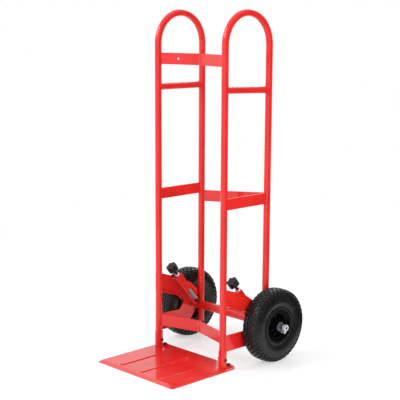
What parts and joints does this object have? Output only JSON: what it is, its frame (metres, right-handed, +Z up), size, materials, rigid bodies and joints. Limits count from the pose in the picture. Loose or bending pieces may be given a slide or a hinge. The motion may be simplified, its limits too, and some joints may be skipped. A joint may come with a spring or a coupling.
{
  "type": "hand truck",
  "caption": "Upright two-wheeled hand truck with hairpin tube handles, a flat toe plate, pneumatic wheels and spring-loaded lock pins on its wheel brackets.",
  "frame": {"origin": "on the floor, under the toe plate, midway between the centres of the two uprights", "axes": "+X to the truck's right, -Y towards the toe plate's front edge, +Z up"},
  "size_m": [0.5938, 0.6314, 1.2998],
  "materials": {
    "red_paint": "glossy powder coat",
    "zinc": "bright zinc plating",
    "black_steel": "black oxide",
    "black_plastic": "moulded, satin",
    "knob_plastic": "moulded, semi-gloss",
    "tyre_rubber": "moulded rubber with a block tread",
    "tube_rubber": "smooth butyl",
    "bearing_steel": "ground",
    "spring_steel": "drawn wire, zinc plated",
    "valve_brass": "plain brass with a cap"
  },
  "bodies": {
    "frame": {"left_loop_tube": "red_paint", "right_loop_tube": "red_paint", "left_side_rung": "red_paint", "right_side_rung": "red_paint", "left_side_rail": "red_paint", "right_side_rail": "red_paint", "left_toe_socket": "red_paint", "right_toe_socket": "red_paint", "left_wheel_bracket": "red_paint", "right_wheel_bracket": "red_paint", "left_pin_carrier": "red_paint", "right_pin_carrier": "red_paint", "left_pin_guide": "red_paint", "right_pin_guide": "red_paint", "left_pin_guide_nut": "zinc", "right_pin_guide_nut": "zinc", "upper_cross_plate": "red_paint", "middle_cross_rail": "red_paint", "lower_cross_rail": "red_paint", "leg_end_plugs": "black_plastic", "toe_plate": "red_paint", "socket_bolts": "black_steel", "socket_nuts": "black_steel", "lug_bolts": "black_steel", "axle_tube": "red_paint", "axle_rod": "zinc", "axle_spacers": "zinc", "hub_washers": "zinc", "axle_sleeves": "zinc", "axle_nuts": "zinc"},
    "left_wheel": {"left_tyre": "tyre_rubber", "left_inner_tube": "tube_rubber", "left_outer_rim_half": "black_plastic", "left_inner_rim_half": "black_plastic", "left_rim_bolts": "zinc", "left_rim_nuts": "zinc", "left_wheel_bearings": "bearing_steel", "left_hub_sleeve": "bearing_steel", "left_valve_stem": "valve_brass"},
    "left_lock": {"left_lock_pin": "black_steel", "left_pin_knob": "knob_plastic", "left_pin_spring": "spring_steel"},
    "right_wheel": {"right_tyre": "tyre_rubber", "right_inner_tube": "tube_rubber", "right_outer_rim_half": "black_plastic", "right_inner_rim_half": "black_plastic", "right_rim_bolts": "zinc", "right_rim_nuts": "zinc", "right_wheel_bearings": "bearing_steel", "right_hub_sleeve": "bearing_steel", "right_valve_stem": "valve_brass"},
    "right_lock": {"right_lock_pin": "black_steel", "right_pin_knob": "knob_plastic", "right_pin_spring": "spring_steel"}
  },
  "joints": [
    {"name": "left_wheel_spin", "type": "hinge", "parent": "frame", "child": "left_wheel", "pos_m": [-0.2303, 0.212, 0.1394], "axis": [1, 0, 0], "continuous": true},
    {"name": "right_wheel_spin", "type": "hinge", "parent": "frame", "child": "right_wheel", "pos_m": [0.2303, 0.212, 0.1394], "axis": [1, 0, 0], "continuous": true},
    {"name": "left_pin_pull", "type": "slide", "parent": "frame", "child": "left_lock", "axis": [0, -0.6545, 0.7561], "range_m": [0, 0.012], "stiffness_N_per_m": 800, "springref_m": -0.012, "deforming": ["left_pin_spring"]},
    {"name": "right_pin_pull", "type": "slide", "parent": "frame", "child": "right_lock", "axis": [0, -0.6545, 0.7561], "range_m": [0, 0.012], "stiffness_N_per_m": 800, "springref_m": -0.012, "deforming": ["right_pin_spring"]}
  ]
}
